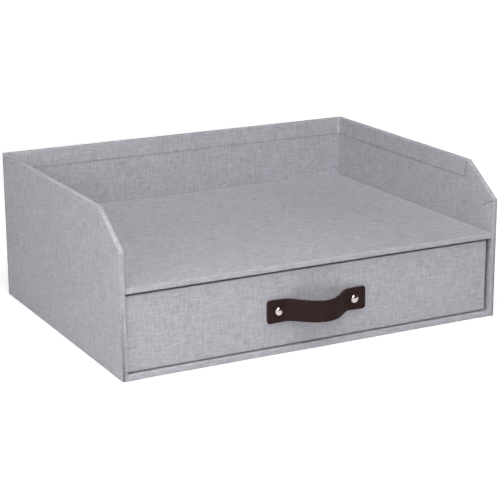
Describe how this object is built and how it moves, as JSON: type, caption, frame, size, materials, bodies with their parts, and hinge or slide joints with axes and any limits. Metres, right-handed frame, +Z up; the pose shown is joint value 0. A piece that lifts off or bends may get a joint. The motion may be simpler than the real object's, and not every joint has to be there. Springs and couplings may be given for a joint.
{
  "type": "file box with drawer",
  "caption": "Paper-covered desk file box: an open A4 tray with sloping front corners above a pull-out drawer with a bowed leather strap handle.",
  "frame": {"origin": "middle of the housing's footprint, on the underside that rests on the table", "axes": "+X to the right along the width, +Y to the back (the drawer opens towards -Y), +Z up"},
  "size_m": [0.335, 0.2669, 0.126],
  "materials": {
    "cover_paper": "matte",
    "lining_paper": "matte",
    "backing_paper": "matte",
    "grey_board": "matte",
    "strap_leather": "satin",
    "nickel": "polished"
  },
  "bodies": {
    "housing": {"outer_wrap": "cover_paper", "shelf_cover": "cover_paper", "base_cover": "cover_paper", "left_lining": "lining_paper", "right_lining": "lining_paper", "back_lining": "lining_paper", "shelf_lining": "backing_paper", "underside_sheet": "backing_paper", "left_side_board": "grey_board", "right_side_board": "grey_board", "back_board": "grey_board", "base_board": "grey_board", "shelf_board": "grey_board"},
    "drawer": {"drawer_wrap": "cover_paper", "drawer_wall_lining": "lining_paper", "drawer_floor_lining": "lining_paper", "drawer_underside_sheet": "backing_paper", "drawer_front_board": "grey_board", "drawer_back_board": "grey_board", "drawer_left_board": "grey_board", "drawer_right_board": "grey_board", "drawer_base_board": "grey_board", "handle_strap": "strap_leather", "handle_rivet_left": "nickel", "handle_rivet_right": "nickel", "rivet_washer_left": "nickel", "rivet_washer_right": "nickel"}
  },
  "joints": [
    {"name": "drawer_slide", "type": "slide", "parent": "housing", "child": "drawer", "axis": [0, -1, 0], "range_m": [0, 0.2]}
  ]
}
